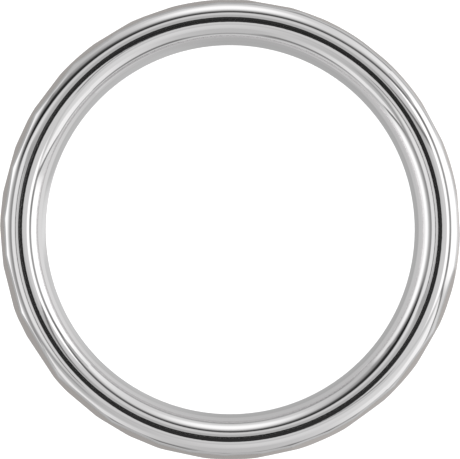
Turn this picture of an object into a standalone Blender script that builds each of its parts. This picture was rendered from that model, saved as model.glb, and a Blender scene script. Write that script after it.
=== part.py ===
"""A hammered comfort-fit wedding band, lying flat with the finger's axis on +Z and its centre at the origin.

The band is four soldered rings. A comfort-fit sleeve touches the finger. A front and a back edge rim, each with a
narrow flat land and a polished rounded shoulder, close its two sides. A centre band lies between the rims. The
hammer marks are struck after the rings are joined, so they run from the centre band on to both rims.
"""

import math

import bmesh
import bpy
from mathutils import Vector

MM = 0.001

# Driving dimensions. A US size 10 ring has a bore of about 19.8 mm.
BORE_RADIUS = 9.92 * MM
BAND_WIDTH = 6.0 * MM
LAND_RADIUS = 11.215 * MM
LAND_WIDTH = 0.14 * MM
INNER_ROUNDING = 1.12 * MM
OUTER_ROUNDING = 1.12 * MM
CROWN_RADIUS = 12.35 * MM
CROWN_BEND = 16.3 * MM
RIM_HEIGHT = 0.72 * MM
SOLDER_GAP = 0.02 * MM

# Worked out from the driving dimensions.
HALF_WIDTH = BAND_WIDTH / 2
SEAM_RADIUS = LAND_RADIUS - LAND_WIDTH / 2
SHOULDER_RADIUS = LAND_RADIUS + LAND_WIDTH / 2
SEAM_HEIGHT = HALF_WIDTH - RIM_HEIGHT

TURN_STEPS = 120
DOME_STEPS = 3
ARC_STEPS = 6
CROWN_STEPS = 8

# Hammer blows. They overlap, and no two are quite alike.
# A row of marks runs along each edge, given as (angle round the band in degrees, depth in mm, lean in degrees).
EDGE_BLOWS = (
    (2, 0.03, 7), (18, 0.04, 7), (34, 0.03, 7), (50, 0.04, 7), (66, 0.05, 8), (79, 0.07, 9), (89, 0.09, 10),
    (98, 0.10, 10), (107, 0.11, 10), (116, 0.10, 10), (126, 0.13, 10), (142, 0.17, 10), (157, 0.16, 10),
    (171, 0.15, 10), (183, 0.14, 10), (194.5, 0.21, 10), (210.5, 0.25, 10), (230, 0.20, 10), (245.5, 0.15, 10),
    (255, 0.11, 10), (264, 0.10, 10), (273, 0.11, 10), (282, 0.10, 10), (291, 0.11, 10), (300, 0.10, 10),
    (309, 0.11, 10), (324, 0.12, 10), (342, 0.11, 10),
)
# Between them, marks to either side of the middle, given as (angle in degrees, height in mm, depth in mm).
MIDDLE_BLOWS = (
    (4, 0.7, 0.05), (16, -0.6, 0.06), (28, 0.7, 0.05), (40, -0.6, 0.06), (52, 0.1, 0.05), (62, -0.8, 0.06),
    (71, 0.0, 0.065), (80, 0.8, 0.06), (90, 0.05, 0.055), (100, -0.7, 0.06), (110, 0.0, 0.065), (121, 0.7, 0.05),
    (132, -0.6, 0.07), (143, 0.7, 0.05), (154, -0.6, 0.06), (165, 0.6, 0.06), (176, -0.6, 0.07),
    (185, 0.8, 0.06), (194, 0.0, 0.07), (204, -0.8, 0.06), (214, 0.05, 0.09), (222, -0.9, 0.07),
    (230, -0.1, 0.06), (239, 0.75, 0.06), (248, -0.2, 0.05), (258, 0.6, 0.06), (270, -0.6, 0.07),
    (282, 0.6, 0.06), (294, -0.6, 0.06), (306, 0.6, 0.07), (318, -0.6, 0.06), (330, 0.6, 0.06),
    (342, -0.6, 0.07), (353, 0.2, 0.02),
)
EDGE_ROW_HEIGHT = 2.0 * MM
EDGE_ROW_WANDER = 0.14 * MM
BACK_TURN = 9.0

POLISHED = {"color": (0.79, 0.785, 0.78, 1), "roughness": 0.06}
HAMMERED = {"color": (0.72, 0.69, 0.67, 1), "roughness": 0.14}


def clear_scene():
    for old in list(bpy.data.objects):
        bpy.data.objects.remove(old, do_unlink=True)


def new_collection(name):
    collection = bpy.data.collections.new(name)
    bpy.context.scene.collection.children.link(collection)
    return collection


def metal(name, look):
    material = bpy.data.materials.new(name)
    material.use_nodes = True
    shader = material.node_tree.nodes["Principled BSDF"]
    shader.inputs["Base Color"].default_value = look["color"]
    shader.inputs["Metallic"].default_value = 1.0
    shader.inputs["Roughness"].default_value = look["roughness"]
    return material


def crown(height):
    """Radius of the unstruck crown at a height: a low arc across the band's width."""
    return CROWN_RADIUS - CROWN_BEND + math.sqrt(CROWN_BEND**2 - height**2)


def shoulder(tilt):
    """A point of the front rim's rounded shoulder, where the surface leans outward by tilt."""
    radius = SHOULDER_RADIUS + OUTER_ROUNDING * math.sin(tilt)
    return radius, HALF_WIDTH - OUTER_ROUNDING * (1 - math.cos(tilt))


def shoulder_end():
    """The tilt at which the rounded shoulder meets the crown, found by halving."""
    low, high = 0.0, math.pi / 2
    for _ in range(40):
        tilt = (low + high) / 2
        radius, height = shoulder(tilt)
        if radius < crown(height):
            low = tilt
        else:
            high = tilt
    return low


def bore_half():
    """The comfort-fit bore from its middle up to the front edge: a wide dome, then the inner rounding."""
    reach = SEAM_RADIUS - SOLDER_GAP / 2 - BORE_RADIUS
    drop = HALF_WIDTH - INNER_ROUNDING
    bend = (reach**2 + drop**2 - INNER_ROUNDING**2) / (2 * (reach - INNER_ROUNDING))
    join = math.asin(drop / (bend - INNER_ROUNDING))
    points = []
    for i in range(1, DOME_STEPS):
        angle = join * i / DOME_STEPS
        points.append((BORE_RADIUS + bend * (1 - math.cos(angle)), bend * math.sin(angle)))
    for i in range(ARC_STEPS + 1):
        angle = join + (math.pi / 2 - join) * i / ARC_STEPS
        radius = BORE_RADIUS + reach - INNER_ROUNDING * math.cos(angle)
        points.append((radius, drop + INNER_ROUNDING * math.sin(angle)))
    return points


def turned(name, outline, collection):
    """A ring turned from a closed outline of (radius, height) points, which runs down its outer side first."""
    mesh = bpy.data.meshes.new(name)
    edges = [(i, (i + 1) % len(outline)) for i in range(len(outline))]
    mesh.from_pydata([(radius, 0, height) for radius, height in outline], edges, [])
    ring = bpy.data.objects.new(name, mesh)
    collection.objects.link(ring)
    screw = ring.modifiers.new("Turn", "SCREW")
    screw.axis = "Z"
    screw.angle = 2 * math.pi
    screw.steps = TURN_STEPS
    screw.render_steps = TURN_STEPS
    screw.use_merge_vertices = False
    screw.use_smooth_shade = True
    return ring


def mirrored(outline):
    """The same outline for the back of the band, still running down its outer side first."""
    return [(radius, -height) for radius, height in reversed(outline)]


def sleeve_outline():
    """The sleeve: a straight outer wall between the two edges, and the comfort-fit bore inside."""
    upper = bore_half()
    lower = mirrored(upper)
    return [upper[-1]] + lower + [(BORE_RADIUS, 0)] + upper[:-1]


def rim_outline():
    """The front rim: flat land, rounded shoulder, a little crown, and the flat face soldered to the centre band."""
    end = shoulder_end()
    points = [(SEAM_RADIUS + SOLDER_GAP / 2, HALF_WIDTH)]
    points += [shoulder(end * i / ARC_STEPS) for i in range(ARC_STEPS + 1)]
    top = points[-1][1]
    points += [(crown(h), h) for h in ((top + SEAM_HEIGHT) / 2, SEAM_HEIGHT)]
    points.append((SEAM_RADIUS + SOLDER_GAP / 2, SEAM_HEIGHT))
    return points


def centre_outline():
    top = SEAM_HEIGHT - SOLDER_GAP
    heights = [top * (1 - 2 * i / CROWN_STEPS) for i in range(CROWN_STEPS + 1)]
    inner = SEAM_RADIUS + SOLDER_GAP / 2
    return [(crown(h), h) for h in heights] + [(inner, -top), (inner, top)]


def blow_plane(angle, height, depth, lean):
    """A hammer mark's plane, as a point and a normal: it leans back by lean, and it lies at depth under the crown."""
    around = math.radians(angle)
    outward = Vector((math.cos(around), math.sin(around), 0))
    normal = outward * math.cos(lean) + Vector((0, 0, math.sin(lean)))
    point = outward * crown(height) + Vector((0, 0, height)) - normal * depth * MM
    return point, normal


def blow_planes():
    """Every mark's plane. The edge rows wander a little in height, and the back row is the front one turned."""
    planes = []
    for i, (angle, depth, degrees) in enumerate(EDGE_BLOWS):
        height = EDGE_ROW_HEIGHT + EDGE_ROW_WANDER * math.sin(2.4 * i)
        lean = math.radians(degrees)
        planes.append(blow_plane(angle, height, depth, lean))
        planes.append(blow_plane(angle + BACK_TURN, -height, depth, -lean))
    for angle, height, depth in MIDDLE_BLOWS:
        planes.append(blow_plane(angle, height * MM, depth, math.asin(height * MM / CROWN_BEND)))
    return planes


def hammered(ring):
    """Turns the ring into a plain mesh and cuts each hammer mark into it as a flat facet."""
    graph = bpy.context.evaluated_depsgraph_get()
    mesh = bpy.data.meshes.new_from_object(ring.evaluated_get(graph))
    ring.modifiers.clear()
    ring.data = mesh
    shape = bmesh.new()
    shape.from_mesh(mesh)
    for point, normal in blow_planes():
        everything = shape.verts[:] + shape.edges[:] + shape.faces[:]
        cut = bmesh.ops.bisect_plane(
            shape, geom=everything, dist=1e-8, plane_co=point, plane_no=normal, clear_outer=True
        )
        rim = [item for item in cut["geom_cut"] if isinstance(item, bmesh.types.BMEdge)]
        if rim:
            bmesh.ops.holes_fill(shape, edges=rim, sides=0)
    bmesh.ops.recalc_face_normals(shape, faces=shape.faces[:])
    shape.to_mesh(mesh)
    shape.free()


def finish(ring, material):
    """One material, smooth along the turning and sharp at the facets' edges."""
    ring.data.materials.append(material)
    ring.data.shade_smooth()
    ring.data.set_sharp_from_angle(angle=math.radians(18))


def main():
    clear_scene()
    band = new_collection("wedding_band")
    polished = metal("polished_metal", POLISHED)
    struck = metal("hammered_metal", HAMMERED)

    sleeve = turned("comfort_fit_sleeve", sleeve_outline(), band)
    front = turned("front_edge_rim", rim_outline(), band)
    back = turned("back_edge_rim", mirrored(rim_outline()), band)
    centre = turned("hammered_centre_band", centre_outline(), band)
    for ring in (front, back, centre):
        hammered(ring)

    finish(sleeve, polished)
    finish(front, polished)
    finish(back, polished)
    finish(centre, struck)


main()
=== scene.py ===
"""A hammered comfort-fit wedding band in polished white gold, lying flat on a pale floor in a soft studio."""
import math

import bpy
import numpy as np
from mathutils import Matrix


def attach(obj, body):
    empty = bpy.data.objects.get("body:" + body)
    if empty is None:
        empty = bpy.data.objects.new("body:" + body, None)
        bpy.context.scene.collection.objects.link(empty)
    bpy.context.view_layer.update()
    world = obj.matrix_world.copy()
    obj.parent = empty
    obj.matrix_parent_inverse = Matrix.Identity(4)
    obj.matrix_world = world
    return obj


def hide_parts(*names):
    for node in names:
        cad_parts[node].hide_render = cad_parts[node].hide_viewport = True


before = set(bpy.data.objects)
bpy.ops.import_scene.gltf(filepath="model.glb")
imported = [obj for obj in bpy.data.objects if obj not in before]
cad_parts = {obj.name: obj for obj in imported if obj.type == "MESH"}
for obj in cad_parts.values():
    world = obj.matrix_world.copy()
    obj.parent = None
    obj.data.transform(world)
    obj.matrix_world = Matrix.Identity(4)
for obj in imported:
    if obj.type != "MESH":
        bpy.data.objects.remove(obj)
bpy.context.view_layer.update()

MM = 0.001
TURN = 2 * math.pi

# ---------------------------------------------------------------- sizes read from the frame

SAME_HEIGHT = 0.001 * MM


def ring_points(node):
    """Radius and height of every vertex of a CAD ring."""
    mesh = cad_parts[node].data
    flat = np.empty(len(mesh.vertices) * 3)
    mesh.vertices.foreach_get("co", flat)
    x, y, z = flat.reshape(-1, 3).T
    return np.hypot(x, y), z


sleeve_radius, sleeve_height = ring_points("comfort_fit_sleeve")
rim_radius, rim_height = ring_points("front_edge_rim")
_, centre_height = ring_points("hammered_centre_band")

BORE_RADIUS = sleeve_radius.min()
SLEEVE_RADIUS = sleeve_radius.max()
HALF_WIDTH = sleeve_height.max()
land_radius = rim_radius[np.abs(rim_height - rim_height.max()) < SAME_HEIGHT]
RIM_INSIDE = land_radius.min()
SHOULDER_START = land_radius.max()
SEAM_HEIGHT = rim_height.min()
CENTRE_TOP = centre_height.max()

# ---------------------------------------------------------------- shape of the band

INNER_ROUNDING = 1.12 * MM
OUTER_ROUNDING = 1.12 * MM
CROWN_RADIUS = 12.35 * MM
CROWN_BEND = 16.3 * MM
EDGE_ROW_HEIGHT = 2.0 * MM
EDGE_ROW_WANDER = 0.14 * MM
EDGE_ROW_BEAT = 2.4
BACK_TURN = 9.0

# Creases between two marks, and between a mark and the rounded shoulder, are softened over these lengths.
MARK_SOFTNESS = 0.010 * MM
RIM_SOFTNESS = 0.030 * MM
# The land has a second ring of points this far inside its outer edge, which keeps its shading flat.
LAND_MARGIN = 0.004 * MM
# A mark whose plane a line meets at less than this slope is on another side of the band, so it is far.
LEAST_SLOPE = 0.05
FAR = 1.0

# Steps round each ring, points across its outline, the angle above which a mesh's edge is sharp, and
# roughly the angle at which a rim's outline reaches the seam, seen from the shoulder's centre.
SLEEVE_STEPS = 900
RIM_STEPS = 1800
CENTRE_STEPS = 1600
CENTRE_LEVELS = 58
DOME_POINTS = 14
ROUNDING_POINTS = 40
SHARP_ANGLE = math.radians(50)
FIRST_GUESS = math.radians(28)

# Hammer blows. They overlap, and no two are quite alike. A row of marks runs along each edge,
# given as (angle round the band in degrees, depth in mm, lean in degrees).
EDGE_BLOWS = (
    (2, 0.03, 7), (18, 0.04, 7), (34, 0.03, 7), (50, 0.04, 7), (66, 0.05, 8), (79, 0.07, 9),
    (89, 0.09, 10), (98, 0.10, 10), (107, 0.11, 10), (116, 0.10, 10), (126, 0.13, 10), (142, 0.17, 10),
    (157, 0.16, 10), (171, 0.15, 10), (183, 0.14, 10), (194.5, 0.21, 10), (210.5, 0.25, 10), (230, 0.20, 10),
    (245.5, 0.15, 10), (255, 0.11, 10), (264, 0.10, 10), (273, 0.11, 10), (282, 0.10, 10), (291, 0.11, 10),
    (300, 0.10, 10), (309, 0.11, 10), (324, 0.12, 10), (342, 0.11, 10),
)
# Between the rows, marks to either side of the middle, given as
# (angle in degrees, height in mm, depth in mm).
MIDDLE_BLOWS = (
    (4, 0.7, 0.05), (16, -0.6, 0.06), (28, 0.7, 0.05), (40, -0.6, 0.06), (52, 0.1, 0.05),
    (62, -0.8, 0.06), (71, 0.0, 0.065), (80, 0.8, 0.06), (90, 0.05, 0.055), (100, -0.7, 0.06),
    (110, 0.0, 0.065), (121, 0.7, 0.05), (132, -0.6, 0.07), (143, 0.7, 0.05), (154, -0.6, 0.06),
    (165, 0.6, 0.06), (176, -0.6, 0.07), (185, 0.8, 0.06), (194, 0.0, 0.07), (204, -0.8, 0.06),
    (214, 0.05, 0.09), (222, -0.9, 0.07), (230, -0.1, 0.06), (239, 0.75, 0.06), (248, -0.2, 0.05),
    (258, 0.6, 0.06), (270, -0.6, 0.07), (282, 0.6, 0.06), (294, -0.6, 0.06), (306, 0.6, 0.07),
    (318, -0.6, 0.06), (330, 0.6, 0.06), (342, -0.6, 0.07), (353, 0.2, 0.02),
)


def crown(height):
    """Radius of the unstruck crown: a low arc of radius CROWN_BEND across the band's width."""
    return CROWN_RADIUS - CROWN_BEND + np.sqrt(CROWN_BEND**2 - height**2)


def blow(angle, height, depth, lean):
    """One mark's plane, which leans back by lean and lies at depth under the crown. It is given as
    (direction round the band, outward and upward parts of its normal, distance from the origin)."""
    distance = crown(height) * math.cos(lean) + height * math.sin(lean) - depth * MM
    return math.radians(angle), math.cos(lean), math.sin(lean), distance


def blows():
    """Every mark. The edge rows wander a little in height, and the back row is the front one turned."""
    found = []
    for i, (angle, depth, degrees) in enumerate(EDGE_BLOWS):
        height = EDGE_ROW_HEIGHT + EDGE_ROW_WANDER * math.sin(EDGE_ROW_BEAT * i)
        lean = math.radians(degrees)
        found.append(blow(angle, height, depth, lean))
        found.append(blow(angle + BACK_TURN, -height, depth, -lean))
    for angle, height, depth in MIDDLE_BLOWS:
        found.append(blow(angle, height * MM, depth, math.asin(height * MM / CROWN_BEND)))
    return found


def soft_least(a, b, soft):
    """The smaller of two distances, with a rounded crease where they are within soft of each other."""
    share = np.clip(0.5 + 0.5 * (b - a) / soft, 0, 1)
    return b * (1 - share) + a * share - soft * share * (1 - share)


def struck_reach(turn, start_radius, start_height, outward, upward):
    """Distance from a point inside the metal to the struck surface, along (outward, upward). It is the soft
    least of the distance to the crown, where the line meets a circle, and the distances to every mark's
    plane: the gap between the point and the plane over the slope at which the line nears it."""
    a = outward**2 + upward**2
    centre = CROWN_RADIUS - CROWN_BEND
    b = (start_radius - centre) * outward + start_height * upward
    c = (start_radius - centre) ** 2 + start_height**2 - CROWN_BEND**2
    reach = (-b + np.sqrt(b * b - a * c)) / a
    for around, level, rise, distance in blows():
        facing = level * np.cos(turn - around)
        slope = facing * outward + rise * upward
        near = slope > LEAST_SLOPE
        gap = distance - facing * start_radius - rise * start_height
        plane = np.where(near, gap / np.where(near, slope, 1), FAR)
        reach = soft_least(reach, plane, MARK_SOFTNESS)
    return reach


# ---------------------------------------------------------------- meshes


def ring_mesh(name, radius, height, turn):
    """A closed ring from (turns, points) arrays of radius and height. Each row of the arrays is one closed
    outline, which runs down its outer side first, and the rows follow turn round the axis."""
    turns, points = radius.shape
    place = np.stack([radius * np.cos(turn), radius * np.sin(turn), height], axis=-1)
    i = np.arange(turns)[:, None]
    j = np.arange(points)[None, :]
    this, along = i * points + j, i * points + (j + 1) % points
    after = (i + 1) % turns * points + j
    across = (i + 1) % turns * points + (j + 1) % points
    quads = np.stack([this, along, across, after], axis=-1).reshape(-1, 4)

    mesh = bpy.data.meshes.new(name)
    mesh.vertices.add(turns * points)
    mesh.vertices.foreach_set("co", place.astype(np.float32).ravel())
    mesh.loops.add(quads.size)
    mesh.loops.foreach_set("vertex_index", quads.astype(np.int32).ravel())
    mesh.polygons.add(len(quads))
    mesh.polygons.foreach_set("loop_start", np.arange(0, quads.size, 4, dtype=np.int32))
    mesh.update(calc_edges=True)
    mesh.shade_smooth()
    mesh.set_sharp_from_angle(angle=SHARP_ANGLE)
    mesh.validate()
    ring = bpy.data.objects.new(name, mesh)
    bpy.context.scene.collection.objects.link(ring)
    return ring


def bore_outline():
    """The comfort-fit bore from its middle to the front edge: a wide dome of radius bend, and a rounding
    that is tangent to it where both lean by join."""
    reach = SLEEVE_RADIUS - BORE_RADIUS
    hub_height = HALF_WIDTH - INNER_ROUNDING
    bend = (reach**2 + hub_height**2 - INNER_ROUNDING**2) / (2 * (reach - INNER_ROUNDING))
    join = math.asin(hub_height / (bend - INNER_ROUNDING))
    dome = np.linspace(0, join, DOME_POINTS)[:-1]
    edge = np.linspace(join, math.pi / 2, ROUNDING_POINTS)
    dome_radius = BORE_RADIUS + bend * (1 - np.cos(dome))
    edge_radius = SLEEVE_RADIUS - INNER_ROUNDING * np.cos(edge)
    radius = np.concatenate([dome_radius, edge_radius])
    height = np.concatenate([bend * np.sin(dome), hub_height + INNER_ROUNDING * np.sin(edge)])
    return radius, height


def make_sleeve():
    """The sleeve: the bore outline and its mirror image, closed by a straight outer wall."""
    turn = np.linspace(0, TURN, SLEEVE_STEPS, endpoint=False)[:, None]
    radius, height = bore_outline()
    down = np.concatenate([[radius[-1]], radius[::-1], radius[1:-1]])
    level = np.concatenate([[height[-1]], -height[::-1], height[1:-1]])
    spread = np.ones_like(turn)
    return ring_mesh("polished_comfort_sleeve", down * spread, level * spread, turn)


def make_rim(name, side):
    """An edge rim, in front for side 1 and at the back for side -1. Its outline is the flat land, then the
    surface seen from the shoulder's centre at falling angles, where it is the soft least of the rounding
    and the struck surface, then the flat face soldered to the centre band."""
    turn = np.linspace(0, TURN, RIM_STEPS, endpoint=False)[:, None]
    hub_radius = SHOULDER_START
    hub_height = HALF_WIDTH - OUTER_ROUNDING
    seam_rise = SEAM_HEIGHT - hub_height

    def reach(angle):
        struck = struck_reach(turn, hub_radius, side * hub_height, np.cos(angle), side * np.sin(angle))
        return soft_least(np.full_like(struck, OUTER_ROUNDING), struck, RIM_SOFTNESS)

    # The angle at which the outline comes down to the seam, found by repeating one step.
    last = np.full_like(turn, FIRST_GUESS)
    for _ in range(6):
        last = np.arcsin(seam_rise / reach(last))
    # The points lie closest together where the marks cut the shoulder.
    above = np.linspace(0, 0.48, 18)[:-1]
    at_marks = np.linspace(0.48, 0.78, 22)[:-1]
    below = np.linspace(0.78, 1, 8)
    share = np.concatenate([above, at_marks, below])
    angle = math.pi / 2 + (last - math.pi / 2) * share
    distance = reach(angle)
    outer_radius = hub_radius + distance * np.cos(angle)
    outer_height = hub_height + distance * np.sin(angle)
    outer_height[:, -1] = SEAM_HEIGHT
    spread = np.ones_like(turn)
    land = np.concatenate([RIM_INSIDE * spread, (SHOULDER_START - LAND_MARGIN) * spread], axis=1)
    radius = np.concatenate([land, outer_radius, RIM_INSIDE * spread], axis=1)
    height = np.concatenate([HALF_WIDTH + 0 * land, outer_height, SEAM_HEIGHT * spread], axis=1)
    if side < 0:
        radius, height = radius[:, ::-1], -height[:, ::-1]
    return ring_mesh(name, radius, height, turn)


def make_centre():
    """The hammered centre band: struck surface outside, a plain wall inside, flat faces above and below."""
    turn = np.linspace(0, TURN, CENTRE_STEPS, endpoint=False)[:, None]
    level = np.linspace(CENTRE_TOP, -CENTRE_TOP, CENTRE_LEVELS)[None, :] * np.ones_like(turn)
    zero = np.zeros_like(level)
    outer = struck_reach(turn, zero, level, zero + 1, zero)
    wall = RIM_INSIDE * np.ones_like(turn)
    radius = np.concatenate([wall, outer, wall], axis=1)
    height = np.concatenate([level[:, :1], level, level[:, -1:]], axis=1)
    return ring_mesh("hammered_centre", radius, height, turn)


# ---------------------------------------------------------------- metals

# Noise features per metre, metres along the noise for each radian round the axis, and the noise's detail.
CLOUD_SCALE = 420.0
DIMPLE_SCALE = 1100.0
LINE_SCALE = 30000.0
LINE_STRETCH = 0.0025
CLOUD_DETAIL = 3.0
BUMP_DETAIL = 2.0


class Nodes:
    """Short calls for building one node tree."""

    def __init__(self, material):
        material.use_nodes = True
        self.tree = material.node_tree
        self.tree.nodes.clear()

    def add(self, kind, **settings):
        node = self.tree.nodes.new(kind)
        for key, value in settings.items():
            setattr(node, key, value)
        return node

    def link(self, source, target):
        self.tree.links.new(source, target)

    def math(self, operation, first, second):
        node = self.add("ShaderNodeMath", operation=operation)
        for socket, value in zip(node.inputs, (first, second)):
            if isinstance(value, (int, float)):
                socket.default_value = value
            else:
                self.link(value, socket)
        return node.outputs[0]

    def noise(self, vector, scale, detail):
        node = self.add("ShaderNodeTexNoise")
        node.inputs["Scale"].default_value = scale
        node.inputs["Detail"].default_value = detail
        self.link(vector, node.inputs["Vector"])
        return node.outputs["Fac"]


def metal(name, color, edge, roughness, spread, lines, dimples):
    """White gold of one colour face on and another at grazing angles. Noise on Object coordinates clouds the
    gloss by spread and dimples the surface, and noise that is stretched round the axis draws polishing
    lines. The heights of lines and dimples are in mm."""
    material = bpy.data.materials.new(name)
    nodes = Nodes(material)
    place = nodes.add("ShaderNodeTexCoord").outputs["Object"]
    split = nodes.add("ShaderNodeSeparateXYZ")
    nodes.link(place, split.inputs[0])
    squares = [nodes.math("POWER", split.outputs[axis], 2) for axis in (0, 1)]
    across = nodes.math("SQRT", nodes.math("ADD", squares[0], squares[1]), 0)
    around = nodes.math("ARCTAN2", split.outputs[1], split.outputs[0])
    turned = nodes.add("ShaderNodeCombineXYZ")
    nodes.link(nodes.math("MULTIPLY", around, LINE_STRETCH), turned.inputs[0])
    nodes.link(across, turned.inputs[1])
    nodes.link(split.outputs[2], turned.inputs[2])

    cloud = nodes.noise(place, CLOUD_SCALE, CLOUD_DETAIL)
    shader = nodes.add("ShaderNodeBsdfPrincipled")
    shader.inputs["Metallic"].default_value = 1.0
    shader.inputs["Base Color"].default_value = (*color, 1)
    shader.inputs["Specular Tint"].default_value = (*edge, 1)
    change = nodes.math("MULTIPLY", nodes.math("SUBTRACT", cloud, 0.5), spread)
    nodes.link(nodes.math("ADD", change, roughness), shader.inputs["Roughness"])

    height = nodes.math(
        "ADD",
        nodes.math("MULTIPLY", nodes.noise(turned.outputs[0], LINE_SCALE, BUMP_DETAIL), lines),
        nodes.math("MULTIPLY", nodes.noise(place, DIMPLE_SCALE, BUMP_DETAIL), dimples),
    )
    bump = nodes.add("ShaderNodeBump")
    bump.inputs["Strength"].default_value = 1.0
    bump.inputs["Distance"].default_value = MM
    nodes.link(height, bump.inputs["Height"])
    nodes.link(bump.outputs[0], shader.inputs["Normal"])
    output = nodes.add("ShaderNodeOutputMaterial")
    nodes.link(shader.outputs[0], output.inputs["Surface"])
    return material


# ---------------------------------------------------------------- studio

# The studio is a cube that reaches STUDIO_REACH metres to each side. Places on a wall run from -1 to 1.
# Shades are grey levels on the screen's scale of 0 to 255, as the polished metal shows them, and those
# above 255 are lights.
METAL_SHINE = 0.93
SCREEN_GAMMA = 2.2
STUDIO_REACH = 1.5
WALL_CELLS = 200
BRIGHT_WINDOW = 262
CURTAIN = 260
CAMERA_SHADE = 48


def ramp(x, start, end):
    """0 at start, 1 at end, and a smooth step between."""
    share = np.clip((x - start) / (end - start), 0, 1)
    return share * share * (3 - 2 * share)


def panel(u, v, left, right, low, high, soft):
    """1 inside a rectangle, falling smoothly to 0 over soft, centred on each side."""
    half = soft / 2
    inside = ramp(u, left - half, left + half) * (1 - ramp(u, right - half, right + half))
    return inside * ramp(v, low - half, low + half) * (1 - ramp(v, high - half, high + half))


def stripe(u, v, start, end, width):
    """1 on the straight line from start to end, falling smoothly to 0 at width from it."""
    run, rise = end[0] - start[0], end[1] - start[1]
    along = np.clip(((u - start[0]) * run + (v - start[1]) * rise) / (run**2 + rise**2), 0, 1)
    return 1 - ramp(np.hypot(u - start[0] - along * run, v - start[1] - along * rise), 0, width)


def over(shade, mask, value):
    """Paints value over shade where mask is 1."""
    return shade + (value - shade) * mask


def low_shade(x, y):
    """Below the horizon: a slow change with direction, lightest to the right and darkest on the near side.
    It is a mean shade, a cosine and a sine once round, and a cosine twice round."""
    turn = np.arctan2(y, x)
    return 190 + 12 * np.cos(turn) + 6 * np.sin(turn) + 13 * np.cos(2 * turn)


def ceiling_shade(x, y):
    """The wall over the band: two windows, thin posts and wires, a dark beam, and the dark camera."""
    # Plain grey stretches. The near side is lighter to the right, with a darker band across it, and there
    # is a soft darker patch just beyond the middle.
    shade = over(174 + 0 * x, ramp(x, -0.6, 0.2), 210)
    shade = over(shade, ramp(-y, 0.6, 1.0), 196 + 8 * x + 18 * x**2)
    shade = over(shade, ramp(y, -0.45, -0.2), 200)
    shade = over(shade, 0.5 * (1 - ramp(np.abs(y + 0.37), 0, 0.12)), 170)
    shade = over(shade, 1 - ramp(np.hypot(x / 0.34, (y - 0.16) / 0.17), 0.4, 1.2), 172)
    # The left window, with a grey curtain to its left, a sill on its near side, and a dark post and a thin
    # wire to its right.
    shade = over(shade, panel(x, y, -1.4, -0.80, -0.45, 0.38, 0.16), 138)
    shade = over(shade, panel(x, y, -0.77, -0.39, -0.34, 0.32, 0.16), 224)
    shade = over(shade, stripe(x, y, (-1.1, -0.47), (-0.48, -0.48), 0.12), 146)
    shade = over(shade, stripe(x, y, (-0.32, 0.10), (-0.27, -0.24), 0.045), 70)
    shade = over(shade, stripe(x, y, (-0.42, 0.18), (-0.10, 0.05), 0.04), 158)
    # Two thin wires to the right, and the right window.
    shade = over(shade, stripe(x, y, (0.14, 0.14), (0.57, 0.26), 0.04), 104)
    shade = over(shade, stripe(x, y, (0.07, -0.16), (0.28, -0.25), 0.035), 122)
    shade = over(shade, panel(x, y, 0.57, 0.94, -0.28, 0.8, 0.14), BRIGHT_WINDOW)
    # The dark beam, a low parabola. Its near side is sharper than its far side, which fades most slowly to
    # the left.
    rise = y - (0.545 + 0.16 * x - 0.07 * x**2)
    slow = ramp(-x, 0.0, 0.7)
    bright = 210 - 25 * x**2 - 34 * ramp(-x, 0.4, 1.0)
    faded = over(58 + 30 * x, ramp(rise, 0.03 + 0.10 * slow, 0.42 + 0.33 * slow), bright)
    shade = over(shade, ramp(rise, -0.07, 0.06), faded)
    # The camera: an ellipse with squarer corners, where the sum of two cubes is 1.
    away = (np.abs((x - 0.010) / 0.066) ** 3 + np.abs((y + 0.038) / 0.110) ** 3) ** (1 / 3)
    return over(shade, 1 - ramp(away, 0.93, 1.12), CAMERA_SHADE)


def right_shade(y, z):
    """The right wall: a dark post near the ceiling, a tall white window, and a white dado with a rail."""
    shade = 210 + 0 * y
    # The window, dimmer towards the far wall and deeper in its near half, with a grey patch under it.
    shade = over(shade, panel(z, y, -0.22, 0.05, 0.5, 1.6, 0.16), 172)
    light = BRIGHT_WINDOW - 29 * ramp(y, 0.6, 1.0)
    shade = over(shade, panel(z, y, 0.06, 0.68, -0.22, 1.6, 0.2), light)
    shade = over(shade, panel(z, y, -0.10, 0.68, -0.22, 0.42, 0.18), BRIGHT_WINDOW)
    # The dark rail, a parabola that leans to the near side further down, and the dado on its near side,
    # with a grey line at its foot.
    rail = -0.25 - 0.5 * (1 - z) ** 2
    dado = 242 - 10 * ramp(-y, 0.6, 1.0) - 18 * ramp(z, 0.8, 1.0)
    shade = over(shade, ramp(rail - y, 0.02, 0.08) * ramp(z, 0.22, 0.36), dado)
    shade = over(shade, (1 - ramp(np.abs(y - rail), 0.01, 0.07)) * ramp(z, 0.22, 0.32), 122)
    shade = over(shade, stripe(z, y, (0.19, -0.55), (0.21, -1.2), 0.13), 160)
    # The post, darkest towards the far wall, and a paler stretch beyond it.
    post = 150 - 45 * ramp(y, 0.35, 0.62) - 20 * (1 - ramp(np.abs(y + 0.12), 0, 0.16))
    shade = over(shade, panel(z, y, 0.70, 1.3, -0.25, 0.70, 0.14), post)
    shade = over(shade, panel(z, y, 0.60, 1.3, 0.72, 1.6, 0.08), 158 + 38 * ramp(y, 0.74, 1.0))
    return over(shade, ramp(-z, 0.1, 0.4), low_shade(1 + 0 * y, y))


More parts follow.
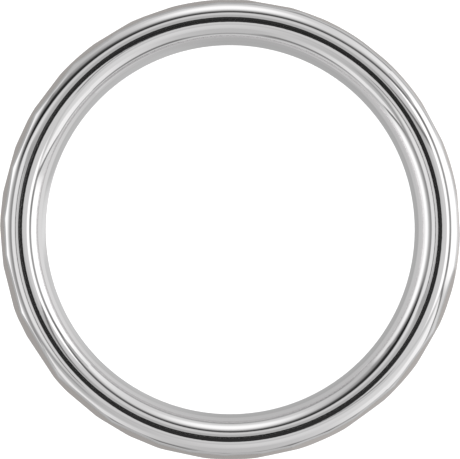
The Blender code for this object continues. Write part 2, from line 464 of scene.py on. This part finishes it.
def left_shade(y, z):
    """The left wall: grey near the ceiling, a white curtain below that, and grey again lower down."""
    shade = 202 - 22 * ramp(y, -0.1, 0.6) - 14 * ramp(-y, 0.6, 1.0)
    shade = over(shade, ramp(z, 0.5, 1.05), 138)
    # The curtain, which fades out towards the far and the near wall, and a light strip at its foot.
    height = 1 - 0.45 * ramp(y, 0.3, 0.8) - 0.52 * ramp(y, 0.85, 1.02) - ramp(-y, 0.45, 0.88)
    shade = over(shade, height * (1 - ramp(np.abs(z - 0.32), 0.05, 0.42)), CURTAIN)
    shade = over(shade, panel(z, y, -0.10, 0.2, -0.42, 0.22, 0.18), 236)
    # A dark post near the ceiling, a paler one beyond it, and a line between them.
    shade = over(shade, ramp(z, 0.6, 1.0) * panel(y, z, 0.30, 0.78, 0, 2, 0.14), 84)
    shade = over(shade, ramp(z, 0.6, 1.0) * ramp(y, 0.72, 0.84), 136)
    shade = over(shade, stripe(z, y, (1.05, 0.69), (0.60, 0.77), 0.06), 134)
    # A slanted light dado on the near side, a faint line under it, and its dark rail.
    dado = -0.5 - 0.5 * (1 - z)
    shade = over(shade, ramp(dado - y, 0.02, 0.10) * ramp(z, 0.42, 0.62), 228)
    shade = over(shade, stripe(z, y, (0.33, -0.84), (0.33, -1.2), 0.14), 175)
    rail = 92 + 50 * ramp(z, 0.55, 1.0)
    shade = over(shade, stripe(z, y, (1.0, -0.48), (0.50, -0.73), 0.09), rail)
    sinking = ramp(-z, 0.1, 0.5) * (1 - 0.6 * ramp(-y, 0.5, 1.0))
    return over(shade, sinking, low_shade(-1 + 0 * y, y))


def top_shade(x, z):
    """The far wall: grey, darker to the upper left, with one round bright panel and a dark skirting."""
    shade = over(208 + 0 * x, ramp(-x, 0.1, 1.0), 184)
    shade = over(shade, ramp(-x, 0.3, 1.0) * ramp(z, 0.5, 1.0), 141)
    # Lighter to the right at mid-height, greyer near the ceiling.
    shade = over(shade, ramp(x, 0.4, 1.0) * ramp(z, 0.1, 0.25) * (1 - ramp(z, 0.5, 1.05)), 234)
    shade = over(shade, ramp(x, 0.4, 1.0) * ramp(z, 0.7, 1.05), 188)
    # The bright panel, squashed below its middle.
    squash = np.where(z < 0.62, 1.5, 1.0)
    shade = over(shade, 1 - ramp(np.hypot(x, (z - 0.62) * squash), 0.12, 0.54), 254)
    shade = over(shade, ramp(-z, 0.02, 0.4), low_shade(x, 1 + 0 * x))
    return over(shade, stripe(x, z, (-0.72, 0.06), (1.3, -0.01), 0.21), 142)


def bottom_shade(x, z):
    """The near wall: light grey, whiter to each side, with a dark skirting that is paler in the middle."""
    foot = 196 + 10 * ramp(x, 0.6, 1.0) - 9 * ramp(-x, 0.6, 1.0)
    shade = over(foot, ramp(z, 0.1, 0.4), 184 + 46 * ramp(np.abs(x), 0.05, 0.95))
    shade = over(shade, ramp(-z - 0.22 - 0.5 * x**2, 0, 0.12), low_shade(x, -1 + 0 * x))
    # The skirting in three lengths, paler in the middle and towards the corners.
    left_length = 116 + 54 * ramp(-x, 0.45, 1.0)
    right_length = 108 + 44 * ramp(x, 0.45, 1.0)
    shade = over(shade, stripe(x, z, (-0.20, 0.25), (0.27, 0.25), 0.12), 145)
    shade = over(shade, stripe(x, z, (-1.3, 0.33), (-0.27, 0.37), 0.19), left_length)
    return over(shade, stripe(x, z, (0.33, 0.28), (1.3, 0.22), 0.19), right_length)


def behind_shade(x, y):
    """The wall under the band: as the foot of the walls round it, but darker towards its middle, and least
    dark to the right."""
    turn = np.arctan2(y, x)
    away = ramp(np.maximum(np.abs(x), np.abs(y)), 0.5, 1.0)
    middle = 166 + 14 * ramp(np.cos(turn), 0.0, 0.4) + 14 * ramp(np.cos(turn - 0.4), 0.86, 1.0)
    middle = middle + 26 * ramp(np.cos(turn), 0.97, 1.0)
    return over(middle, away, low_shade(x, y))


# Each wall as (its points from two coordinates that run from -1 to 1, its shade at a point).
WALLS = (
    (lambda a, b: (a, b, 1 + 0 * a), lambda x, y, z: ceiling_shade(x, y)),
    (lambda a, b: (a, -b, -1 + 0 * a), lambda x, y, z: behind_shade(x, y)),
    (lambda a, b: (1 + 0 * a, a, -b), lambda x, y, z: right_shade(y, z)),
    (lambda a, b: (-1 + 0 * a, a, b), lambda x, y, z: left_shade(y, z)),
    (lambda a, b: (a, 1 + 0 * a, b), lambda x, y, z: top_shade(x, z)),
    (lambda a, b: (a, -1 + 0 * a, -b), lambda x, y, z: bottom_shade(x, z)),
)


def glow_material(name, attribute):
    """Plain light, of the strength that a mesh attribute gives. No ray is aimed at it: the metal's own
    reflections find it."""
    material = bpy.data.materials.new(name)
    nodes = Nodes(material)
    light = nodes.add("ShaderNodeEmission")
    strength = nodes.add("ShaderNodeAttribute", attribute_name=attribute)
    nodes.link(strength.outputs["Fac"], light.inputs["Strength"])
    output = nodes.add("ShaderNodeOutputMaterial")
    nodes.link(light.outputs[0], output.inputs["Surface"])
    material.cycles.emission_sampling = "NONE"
    return material


def make_studio():
    """Six walls round the band, which the metal mirrors and the camera doesn't see. The light at a point is
    its shade as a share of 255, raised to the screen's gamma, over the share of light that the metal
    throws back."""
    steps = np.linspace(-1, 1, WALL_CELLS + 1)
    a, b = (grid.ravel() for grid in np.meshgrid(steps, steps))
    index = np.arange(len(a)).reshape(WALL_CELLS + 1, -1)
    corners = [index[:-1, :-1], index[:-1, 1:], index[1:, 1:], index[1:, :-1]]
    quads = np.stack(corners, axis=-1).reshape(-1, 4)
    places, glows, faces = [], [], []
    for number, (wall, shade) in enumerate(WALLS):
        x, y, z = wall(a, b)
        places.append(np.stack([x, y, z], axis=-1) * STUDIO_REACH)
        glows.append((shade(x, y, z) / 255) ** SCREEN_GAMMA / METAL_SHINE)
        faces.append(quads + number * len(a))
    mesh = bpy.data.meshes.new("studio_walls")
    mesh.from_pydata(np.concatenate(places).tolist(), [], np.concatenate(faces).tolist())
    attribute = mesh.attributes.new("glow", "FLOAT", "POINT")
    attribute.data.foreach_set("value", np.concatenate(glows).astype(np.float32))
    walls = bpy.data.objects.new("studio_walls", mesh)
    bpy.context.scene.collection.objects.link(walls)
    mesh.materials.append(glow_material("studio_light", "glow"))
    walls.visible_camera = False
    walls.visible_shadow = False


FLOOR_REACH = 3.0
FLOOR_DROP = 0.01 * MM
FLOOR_PAINT = (0.85, 0.85, 0.85, 1)


def make_floor():
    """A pale matt floor under the band, so brightly lit that it is white. The metal doesn't mirror it."""
    mesh = bpy.data.meshes.new("floor")
    corners = [(-1, -1), (1, -1), (1, 1), (-1, 1)]
    level = -HALF_WIDTH - FLOOR_DROP
    mesh.from_pydata([(x * FLOOR_REACH, y * FLOOR_REACH, level) for x, y in corners], [], [(0, 1, 2, 3)])
    floor = bpy.data.objects.new("floor", mesh)
    bpy.context.scene.collection.objects.link(floor)
    material = bpy.data.materials.new("pale_floor")
    nodes = Nodes(material)
    paint = nodes.add("ShaderNodeBsdfDiffuse")
    paint.inputs["Color"].default_value = FLOOR_PAINT
    output = nodes.add("ShaderNodeOutputMaterial")
    nodes.link(paint.outputs[0], output.inputs["Surface"])
    mesh.materials.append(material)
    floor.visible_glossy = False


def make_world():
    """Plain white light from all round, which lights the floor and fills the view past its edge."""
    world = bpy.data.worlds.new("studio_world")
    bpy.context.scene.world = world
    world.use_nodes = True
    background = world.node_tree.nodes["Background"]
    background.inputs["Color"].default_value = (1, 1, 1, 1)
    background.inputs["Strength"].default_value = 1.0


# ---------------------------------------------------------------- camera

CAMERA_HEIGHT = 0.323
CAMERA_ASIDE = 0.0010
CAMERA_BACK = 0.0040
VIEW_WIDTH = 24.487 * MM
AIM = (-0.007 * MM, 0.0, 0.0)
SENSOR_WIDTH = 36.0
LAMP_POWER = 4.0
LAMP_RADIUS = 0.001


def make_camera():
    """Looks straight down the finger's axis, but for a slight lean, and frames the band edge to edge."""
    data = bpy.data.cameras.new("camera")
    data.sensor_width = SENSOR_WIDTH
    data.lens = SENSOR_WIDTH * (CAMERA_HEIGHT - HALF_WIDTH) / VIEW_WIDTH
    data.clip_start = 0.01
    data.clip_end = 10.0
    camera = bpy.data.objects.new("camera", data)
    bpy.context.scene.collection.objects.link(camera)
    camera.location = (CAMERA_ASIDE, -CAMERA_BACK, CAMERA_HEIGHT)
    yaw = math.atan2(CAMERA_ASIDE - AIM[0], CAMERA_HEIGHT - AIM[2])
    pitch = math.atan2(CAMERA_BACK + AIM[1], CAMERA_HEIGHT - AIM[2])
    camera.rotation_euler = (pitch, yaw, 0)
    bpy.context.scene.camera = camera
    return camera


def make_flash(camera):
    """A small lamp at the lens lights the floor, so that the band hides its own shadow. The metal doesn't
    show the lamp."""
    data = bpy.data.lights.new("lens_lamp", "POINT")
    data.energy = LAMP_POWER
    data.shadow_soft_size = LAMP_RADIUS
    lamp = bpy.data.objects.new("lens_lamp", data)
    bpy.context.scene.collection.objects.link(lamp)
    lamp.location = camera.location
    lamp.visible_glossy = False


# ---------------------------------------------------------------- put together

POLISHED_COLOR = (0.93, 0.920, 0.924)
POLISHED_EDGE = (1.0, 1.0, 1.0)
# Painted shade: the hammered metal's colour, face on and at grazing angles, is darker than the polished
# metal's, so that the struck band looks shaded. It is also a little warmer.
HAMMERED_TINT_AND_SHADE = (0.87, 0.838, 0.822)
HAMMERED_EDGE_TINT_AND_SHADE = (0.92, 0.888, 0.868)

POLISHED = metal("polished_white_gold", POLISHED_COLOR, POLISHED_EDGE,
                 roughness=0.032, spread=0.02, lines=0.0002, dimples=0.0003)
POLISHED_BORE = metal("polished_bore", POLISHED_COLOR, POLISHED_EDGE,
                      roughness=0.032, spread=0.02, lines=0.0003, dimples=0.0003)
# The hammered metal, whose darker colours are painted shade as well as a warmer tint.
HAMMERED = metal("hammered_white_gold", HAMMERED_TINT_AND_SHADE, HAMMERED_EDGE_TINT_AND_SHADE,
                 roughness=0.12, spread=0.05, lines=0.0, dimples=0.0012)

for piece, node, slot, look in (
    (make_sleeve(), "comfort_fit_sleeve", "polished_sleeve", POLISHED_BORE),
    (make_rim("polished_front_rim", 1), "front_edge_rim", "polished_edge", POLISHED),
    (make_rim("polished_back_rim", -1), "back_edge_rim", "polished_edge", POLISHED),
    (make_centre(), "hammered_centre_band", "hammered_metal", HAMMERED),
):
    piece.data.materials.append(look)
    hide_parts(node)
    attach(piece, "root")

make_studio()
make_floor()
make_world()
camera = make_camera()
make_flash(camera)
bpy.context.scene.view_settings.view_transform = "Standard"
